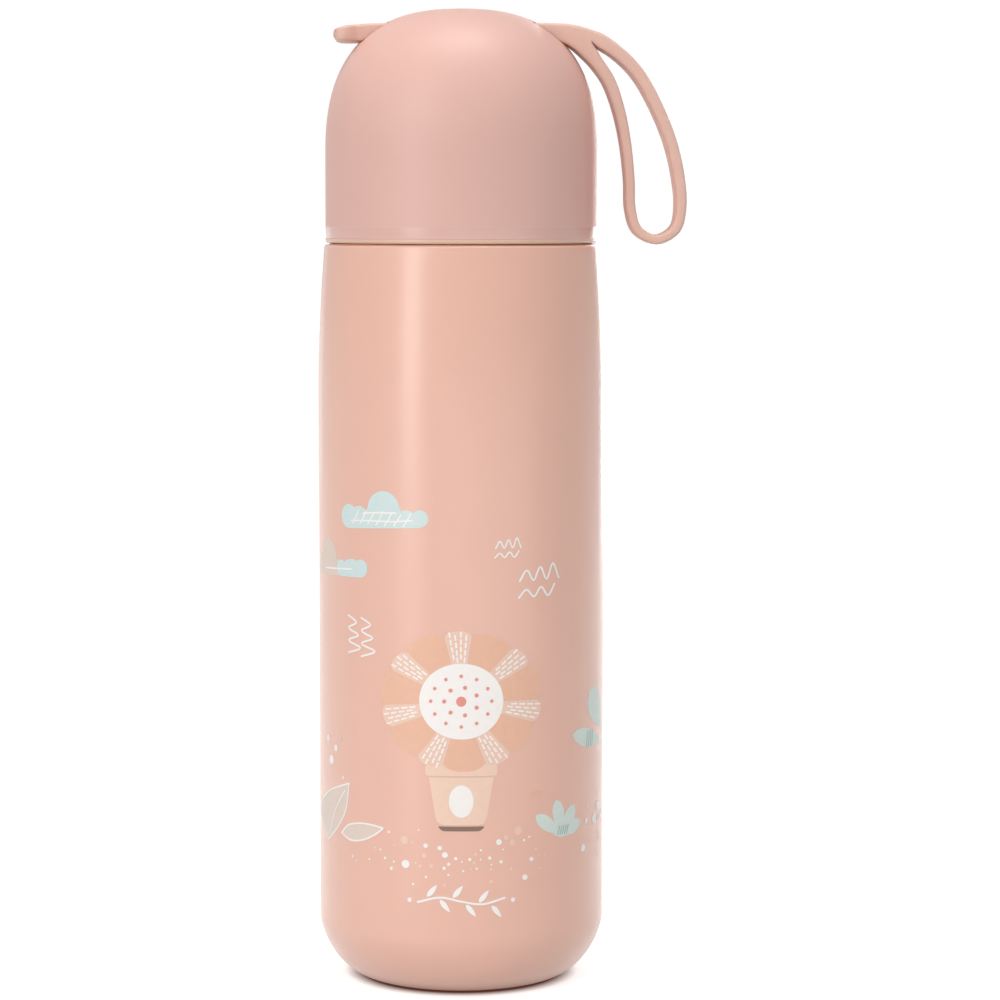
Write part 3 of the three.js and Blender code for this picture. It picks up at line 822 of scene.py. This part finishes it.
def strap():
    """The whole strap as one moulding with round edges."""
    outer, inner, wide, split = strap_columns()
    count = len(outer)
    last = count - 1
    round_r, rounds = 0.8, 5
    tip, tip_share, tip_reach = inner[0], 0.4, 4  # the stop's thin tip is rounded less
    crotch_out = Vector((1, -1.25)).normalized()
    pulled = 6  # the middle line's last points, which give way to the crotch's rounding
    crotch_back = last - (split - 1)

    def normals(points):
        made = []
        for i, after in enumerate(points[1:] + points[:1]):
            way = (after - points[i - 1]).normalized()
            made.append(Vector((-way.y, way.x)))
        return made

    # The outer edge closes round the stop's tip. The inner edge of the gap closes at the crotch.
    rim = outer + [inner[0]]
    rim_wide = wide + [wide[0]]
    rim_out = normals(rim)
    gap = inner[split - 1:crotch_back]
    gap_wide = wide[split - 1:crotch_back]
    gap_out = [-n for n in normals(gap)]
    gap_out[0] = crotch_out

    verts, faces = [], []

    def join(low, high):
        size = len(low)
        faces.extend((low[i], low[(i + 1) % size], high[(i + 1) % size], high[i]) for i in range(size))

    def rings(edge, widths, out, side):
        """Rows of vertices from the flat side face to where the edge is vertical."""
        rows = []
        for k in range(rounds + 1):
            a = k / rounds * pi / 2
            inset = round_r * (1 - sin(a))
            drop = round_r * (1 - cos(a))
            rows.append(range(len(verts), len(verts) + len(edge)))
            for point, w, n in zip(edge, widths, out):
                share = min(1, tip_share + (point - tip).length / tip_reach)
                spot = point - n * inset * share
                verts.append((spot.x, side * (w - drop * share), spot.y))
        return rows

    for side in (-1, 1):
        rim_rows = rings(rim, rim_wide, rim_out, side)
        gap_rows = rings(gap, gap_wide, gap_out, side)
        line = {}
        for i in range(1, split - 1):
            line[i] = len(verts)
            spot = inner[i] - crotch_out * round_r * max(0, 1 - (split - 1 - i) / pulled)
            verts.append((spot.x, side * wide[i], spot.y))
        line[0] = rim_rows[0][count]
        line[split - 1] = gap_rows[0][0]

        def inner_at(i):
            if i < split:
                return line[i]
            if i >= crotch_back:
                return line[last - i]
            return gap_rows[0][i - (split - 1)]

        for i in range(last):
            faces.append((rim_rows[0][i], rim_rows[0][i + 1], inner_at(i + 1), inner_at(i)))
        for rows in (rim_rows, gap_rows):
            for low, high in zip(rows, rows[1:]):
                join(low, high)
        if side == -1:
            front = (rim_rows[-1], gap_rows[-1])
        else:
            join(front[0], rim_rows[-1])
            join(front[1], gap_rows[-1])
    return new_object("carry_strap", verts, [tuple(dict.fromkeys(f)) for f in faces], 50)


carry_strap = strap()
carry_strap.data.materials.append(STRAP)
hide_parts("strap_band", "strap_loop")
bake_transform(carry_strap)


# ------ printed picture, in arc length and height

# Each ink's colour and layer, counted from the wall out. Inks of one layer never overlap.
INKS = {
    "cream": ((248, 212, 190), 0), "aqua": ((214, 231, 229), 1), "mint": ((222, 234, 226), 0),
    "grey": ((233, 213, 199), 0), "brown": ((138, 108, 92), 0), "apricot": ((241, 189, 160), 1),
    "pale": ((245, 206, 186), 1), "white": ((255, 249, 245), 2), "teal": ((158, 194, 190), 2),
    "coral": ((236, 150, 132), 3),
}
drawing = {name: [] for name in INKS}


def draw(color, *shapes):
    drawing[color].extend(shapes)


def oval(s, z, half_s, half_z=None, count=36):
    half_z = half_s if half_z is None else half_z
    angles = [k / count * TURN for k in range(count)]
    return [(s + half_s * cos(a), z + half_z * sin(a)) for a in angles]


def stroke(points, width, steps=6):
    """A brush stroke along a smooth line, with round ends."""
    line = smooth(points, steps)
    left, right = [], []
    for i, point in enumerate(line):
        way = (line[min(i + 1, len(line) - 1)] - line[max(i - 1, 0)]).normalized()
        side = Vector((-way.y, way.x)) * width / 2
        left.append(point + side)
        right.append(point - side)
    caps = []
    for end, before in ((line[-1], line[-2]), (line[0], line[1])):
        way = (end - before).normalized() * width / 2
        side = Vector((-way.y, way.x))
        caps.append([end + way * sin(a) + side * cos(a) for a in (0.8, 1.57, 2.34)])
    return left + caps[0] + right[::-1] + caps[1]


def zigzag(s, z, step, height, count, width, lean=0, upright=False):
    """A scribbled row of peaks that grows a little as it goes."""
    made = []
    for i in range(count + 1):
        rise = height * (0.75 + 0.1 * i) if i % 2 else 0.0
        along, up = i * step, rise + lean * i
        made.append((s + up, z - along) if upright else (s + along, z + up))
    return stroke(made, width, 5)


def cloud(base, lobes, lean):
    """The outline of overlapping circles (s, radius, height of the centre over the base) above a flat base
    that climbs a little to the right."""
    first, last = lobes[0], lobes[-1]
    start, stop = first[0] - first[1], last[0] + last[1]
    count = 90
    top = []
    for k in range(count + 1):
        s = start + (stop - start) * (0.5 - 0.5 * cos(pi * k / count))
        rises = [up + sqrt(max(0, r * r - (s - c) ** 2)) for c, r, up in lobes if abs(s - c) <= r + 1e-9]
        top.append((s, base + max(rises)))
    under = []
    for c, r, up, way in ((*last, 1), (*first, -1)):
        arc = [(c + way * r * cos(a), base + up - r * sin(a)) for a in (0.3, 0.6, 0.9, 1.2, 1.57)]
        under += arc if way > 0 else arc[::-1]
    return [(s, z + lean * (s - start)) for s, z in top + under]


def leaf_sides(base, tip, width, full, curl=0):
    """The two sides of a leaf: widest near its base if full is under 1, and near its tip if it is over."""
    steps = 10
    base, tip = Vector(base), Vector(tip)
    way = tip - base
    side = Vector((-way.y, way.x)).normalized()
    left, right = [], []
    for k in range(steps + 1):
        t = k / steps
        bulge = width / 2 * sin(pi * t ** full) ** (0.8 if full < 1 else 0.6)
        spine = base + way * t + side * curl * sin(pi * t)
        left.append(spine + side * bulge)
        right.append(spine - side * bulge)
    return left, right


def leaf(base, tip, width, full=0.8, curl=0):
    left, right = leaf_sides(base, tip, width, full, curl)
    return left + right[-2:0:-1]


def flower(s, z, half_s, half_z, petals):
    """Petals round a plain centre, every other one narrower, paler and marked with dashes."""
    def spot(a, out):
        return (s + half_s * out * cos(a), z + half_z * out * sin(a))

    pair = TURN / petals * 2
    for i in range(petals):
        pale = i % 2 == 1
        start = (i // 2) * pair + (0.6 * pair if pale else 0)
        width = pair * (0.39 if pale else 0.59)
        edge = [k / 12 for k in range(13)]
        outer = [spot(start + width * t, 1 - 0.07 * abs(2 * t - 1) ** 3) for t in edge]
        inner = [spot(start + width * t, 0.42) for t in edge[::-1]]
        draw("pale" if pale else "apricot", outer + inner)
        if pale:
            for row, share in enumerate((0.2, 0.4, 0.6, 0.8)):
                a = start + width * share
                for k in range(4):
                    out = 0.56 + 0.105 * k + 0.045 * (row % 2)
                    draw("white", stroke([spot(a, out), spot(a, out + 0.06)], 0.4, 1))
    draw("white", oval(s, z, half_s * 0.5, half_z * 0.54, 60))
    for ring, count in ((0.2, 7), (0.36, 12)):
        for k in range(count):
            a = (k + 0.5 * (count % 2)) / count * TURN
            draw("coral", oval(*spot(a, ring), 0.58 - 0.4 * ring, None, 14))
    draw("coral", oval(s, z, 1.2, None, 24))


def flowerpot(s, low, high, half):
    """A tapered pot with a rim, a plain white patch and a saucer."""
    rim = high - 3.2
    draw("cream", trapezoid(s, (half * 0.68, low, 2), (half * 0.9, rim)),
         trapezoid(s, (half, rim + 0.35, 0.9), (half, high, 0.9)))
    draw("white", oval(s, (low + rim) / 2, half * 0.34, (rim - low) * 0.34))
    draw("brown", trapezoid(s, (4.6, low - 1.5, 0.8), (5.6, low - 0.35, 0.4)))


def clouds():
    draw("aqua", cloud(112.8, [(-30.6, 2.9, 2.6), (-27, 3.6, 1.5), (-19.6, 4.6, 4.1), (-13.4, 3.4, 0.7),
                               (-9.9, 2.1, 2)], 0.043))
    draw("aqua", cloud(100.7, [(-33.8, 2, 2), (-29.6, 5.2, -0.8), (-26.4, 2.2, 2.2)], 0.03))
    draw("grey", cloud(100.1, [(-46, 2.4, 2.4), (-40.5, 4.4, 4.5), (-35, 2, 2)], 0.05))
    for line in (
        [(-29.6, 114.5), (-24, 114.8), (-16, 115), (-11.8, 115.4)],
        [(-25.6, 116.5), (-21, 116.9), (-16, 117)],
        [(-42.6, 102), (-36, 102.4), (-29.6, 102.8)],
    ):
        draw("white", stroke(line, 0.38))
    for k in range(7):
        s = -28.2 + 2.5 * k
        draw("white", stroke([(s - 0.9, 113.9), (s + 0.2, 115.4), (s + 1.1, 117.2 - 0.25 * (k % 3))], 0.34))


def scribbles():
    for row in (
        (8.2, 108.9, 1.05, 1.9, 6, 0.38), (8, 106.7, 1.2, 1.2, 5, 0.38),
        (14.2, 100.9, 1.85, 2.9, 6, 0.5, 0.04), (14, 97, 2, 2.1, 5, 0.5, 0.03),
        (-30.8, 91.6, 1.5, 3.4, 6, 0.45, 0, True), (-26.2, 91.4, 1.55, 3.4, 6, 0.45, 0, True),
    ):
        draw("white", zigzag(*row))


def left_leaves():
    """A broad leaf that runs out of sight round the left side and a small one, both with a pale outline."""
    inner = [(-41.1, 35.4), (-35.6, 39.6), (-32.2, 44.2), (-30.8, 50.8)]
    outer = [(-30.8, 50.8), (-41.9, 46.9), (-48.6, 42), (-41.1, 35.4)]
    draw("grey", smooth(inner, 8) + smooth(outer, 8)[1:-1])
    for line, width in ((inner, 0.4), (outer, 0.4), ([(-40.4, 36.8), (-37.6, 42.6), (-32.6, 48.8)], 0.32)):
        draw("white", stroke(line, width))
    small = ((-34, 38.3), (-19.6, 41.2), 4.2, 0.8, -0.2)
    draw("grey", leaf(*small))
    for side in leaf_sides(*small):
        draw("white", stroke(side[::2], 0.4, 4))


def right_leaves():
    draw("mint", leaf((47.4, 62.4), (38.2, 72.4), 8, 1.5))
    draw("mint", leaf((46.5, 59), (30.4, 62.6), 4.7, 1.4))
    for k in range(4):
        s = 36.6 + k
        draw("teal", stroke([(s, 58.8), (s + 0.5, 62.6)], 0.26, 2))


def bush():
    foot = (26.6, 38.8)
    tips = [((18.6, 44.4), 3.4), ((24.8, 47.6), 3.8), ((31.2, 45.6), 3.6), ((33.6, 41.4), 3.4)]
    for tip, width in tips:
        draw("mint", leaf(foot, tip, width, 1.5))
    draw("mint", oval(27.2, 40, 3.6, 1.7))
    for k in range(5):
        draw("teal", stroke([(25.3 + 0.75 * k, 39), (25.9 + 0.75 * k, 41)], 0.24, 2))
    draw("apricot", leaf((17.2, 49.2), (20.8, 50), 1.4))


def pebbles():
    """Dots strewn on the ground, small in the middle and larger to the sides, clear of the other drawings."""
    chance = random.Random(11)
    clear = [(0, 47, 9), (0, 42, 5.2), (-38, 42, 8.5), (-27, 39.4, 4.6), (-32, 38.6, 3.8), (-22, 40.2, 3),
             (26.5, 43.4, 9.2), (19, 49.6, 3)]
    made, most = [], 70
    for _ in range(1500):
        s = chance.uniform(-47, 48)
        z = min(46, max(28.4, chance.gauss(37.2 - 2.0 * cos(s / 16), 3.2)))
        large, largest = 1.0 if abs(s) > 12 else 0.4, 1.3 if abs(s) > 19 else 0.3
        r = chance.choice((0.22, 0.28, 0.35, 0.42, 0.55, 0.7, large, largest))
        if len(made) < most and all(hypot(s - a, z - b) > r + c + 0.5 for a, b, c in clear + made):
            made.append((s, z, r))
    made += [(-39, 55.4, 1.2), (-36.6, 58.6, 0.8), (-34.4, 61.5, 0.5), (-41, 60.5, 0.9), (-33.2, 51.8, 0.4)]
    for i, (s, z, r) in enumerate(made):
        draw("white" if i % 3 else "pale", oval(s, z, r, None, 20))


def sprig(s, z):
    """A small leafy twig, low on the front."""
    twig = [(s - 10.5, z - 0.4), (s - 5, z + 0.9), (s, z), (s + 5, z - 0.7), (s + 10.5, z + 0.6)]
    draw("white", stroke(twig, 0.5))
    for k in range(6):
        x = s - 8.2 + 3.1 * k
        line_z = z + 0.8 * sin((x - s + 10.5) / 21 * TURN)
        up = 1 if k % 2 == 0 else -1
        draw("white", leaf((x, line_z + 0.45 * up), (x + 2.4, line_z + 3.4 * up), 1.25))
    for x in (-12.6, 12.6):
        draw("white", oval(s + x, z, 0.55, None, 18))


def wrap(name, shapes, layer):
    """The flat shapes as a thin closed skin on the wall, cut into narrow strips so that it can curve."""
    bm = bmesh.new()
    for shape in shapes:
        around = sum(a[0] * b[1] - b[0] * a[1] for a, b in zip(shape, shape[1:] + shape[:1]))
        corners = shape if around > 0 else shape[::-1]
        bm.faces.new([bm.verts.new((p[0], p[1], 0)) for p in corners])
    strip, reach_s = 1.5, 54
    for k in range(int(2 * reach_s / strip) + 1):
        everything = bm.verts[:] + bm.edges[:] + bm.faces[:]
        cut = (k * strip - reach_s, 0, 0)
        bmesh.ops.bisect_plane(bm, geom=everything, plane_co=cut, plane_no=(1, 0, 0), dist=1e-5)
    bmesh.ops.triangulate(bm, faces=bm.faces)
    bm.verts.index_update()
    flat = [v.co.copy() for v in bm.verts]
    sheet = [[v.index for v in f.verts] for f in bm.faces]
    rims = [e.link_loops[0] for e in bm.edges if e.is_boundary]
    rims = [(loop.vert.index, loop.link_loop_next.vert.index) for loop in rims]
    bm.free()
    count = len(flat)
    verts = []
    for lift in (-0.03, 0.03 + 0.015 * layer):  # let into the wall, and out to the ink's face
        for s, z, _ in flat:
            r, a = wall_r(z) + lift, s / BODY_R
            verts.append(Vector((r * sin(a), -r * cos(a), z)) * MM)
    faces = [face[::-1] for face in sheet] + [[i + count for i in face] for face in sheet]
    faces += [(a, b, b + count, a + count) for a, b in rims]
    mesh = bpy.data.meshes.new(name)
    mesh.from_pydata(verts, [], faces)
    obj = placed(name, mesh)
    mesh.shade_smooth()
    outward = [Vector((v.co.x, v.co.y, 0)).normalized() for v in mesh.vertices]
    mesh.normals_split_custom_set_from_vertices(outward)
    return obj


flower(0, 72.6, 20.2, 16.8, 14)
flowerpot(0, 43, 57.6, 8.6)
clouds()
scribbles()
left_leaves()
right_leaves()
bush()
pebbles()
sprig(0, 24.6)
for color_name, (color, layer) in INKS.items():
    decal = wrap("print_" + color_name, drawing[color_name], layer)
    decal.data.materials.append(ink(color_name, color))
    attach(decal, "flask")


# ------ studio

def floor():
    """A wide pale floor with a painted contact shadow, dark brown where the bottle stands. It throws no
    diffuse light back up.
    """
    shadow_full, shadow_gone, half = 24.5 * MM, 29 * MM, 12000
    made = Finish("studio_floor", (240, 240, 240), 0.9, Emission_Strength=1)
    made.shade(made.noise(600, 1), 0.995)
    radius = made.nodes.new("ShaderNodeVectorMath")
    radius.operation = "LENGTH"
    made.links.new(made.place, radius.inputs[0])
    # Painted contact shadow: inside the first radius the floor's glow and colour are dark brown, and they
    # fade to pale by the second.
    clear = made.spread(radius.outputs["Value"], 0, 1, shadow_full, shadow_gone)
    glow_and_shadow = made.mix(clear, (0.07, 0.02, 0.012, 1), (0.56, 0.56, 0.56, 1))
    made.links.new(glow_and_shadow, made.shader.inputs["Emission Color"])
    pale = made.shader.inputs["Base Color"].links[0].from_socket
    made.paint(made.mix(clear, linear((84, 44, 32)), pale))
    corners = [(-half, -half, 0), (half, -half, 0), (half, half, 0), (-half, half, 0)]
    obj = new_object("floor", corners, [(0, 1, 2, 3)])
    obj.data.materials.append(made.material)
    obj.visible_diffuse = False


def backdrop():
    """A white surround, which only the camera sees."""
    made = Finish("studio_backdrop", (0, 0, 0), 1, Emission_Color=(1, 1, 1, 1), Emission_Strength=1)
    obj = revolve("backdrop", quarter((11500, -100), (0, 9000), 2, 12) + [(0, -100)], 48, 80)
    obj.data.materials.append(made.material)
    obj.visible_diffuse = False
    obj.visible_glossy = False
    obj.visible_shadow = False


def soft_box(name, place, aim, size, power):
    """An area light at a place in metres, aimed at a point."""
    light = bpy.data.lights.new(name, "AREA")
    light.shape = "RECTANGLE"
    light.size, light.size_y = size
    light.energy = power
    obj = placed(name, light)
    obj.location = place
    obj.rotation_euler = (Vector(aim) - Vector(place)).to_track_quat("-Z", "Y").to_euler()


def studio_light():
    """A white sky that darkens below the horizon, and five area lights."""
    world = bpy.data.worlds.new("studio")
    world.use_nodes = True
    nodes, links = world.node_tree.nodes, world.node_tree.links
    fill(nodes["Background"], Color=(1, 1, 1, 1))
    split = nodes.new("ShaderNodeSeparateXYZ")
    links.new(nodes.new("ShaderNodeTexCoord").outputs["Generated"], split.inputs["Vector"])
    dim = nodes.new("ShaderNodeMapRange")
    fill(dim, From_Min=-0.9, From_Max=-0.3, To_Min=0.2, To_Max=0.57)
    links.new(split.outputs["Z"], dim.inputs["Value"])
    links.new(dim.outputs["Result"], nodes["Background"].inputs["Strength"])
    bpy.context.scene.world = world
    middle = (0, 0, 0.13)
    soft_box("key", (-1.05, -1.25, 0.42), middle, (0.45, 1.6), 11.8)
    soft_box("low_fill", (0.2, -0.5, 0.02), (0, 0, 0.02), (0.8, 0.2), 0.5)
    soft_box("overhead", (0.02, -0.1, 1.2), (0, 0, 0.2), (0.6, 0.4), 5)
    soft_box("edge_left", (-0.6, 1.3, 0.25), middle, (0.25, 1.2), 0.5)
    soft_box("edge_right", (0.45, 1.3, 0.25), middle, (0.25, 1.2), 7)


def camera():
    """Level with the cup's edge and tipped down a little, with the bottle left of the middle."""
    lens = bpy.data.cameras.new("camera")
    lens.lens, lens.sensor_width = 115.63, 36
    lens.shift_x = 0.03875
    lens.clip_end = 60
    obj = placed("camera", lens)
    obj.location = (0, -0.7867, 0.1889)
    obj.rotation_euler = (pi / 2 - 0.0908, 0, 0)
    bpy.context.scene.camera = obj


floor()
backdrop()
studio_light()
camera()
bpy.context.scene.view_settings.view_transform = "Standard"
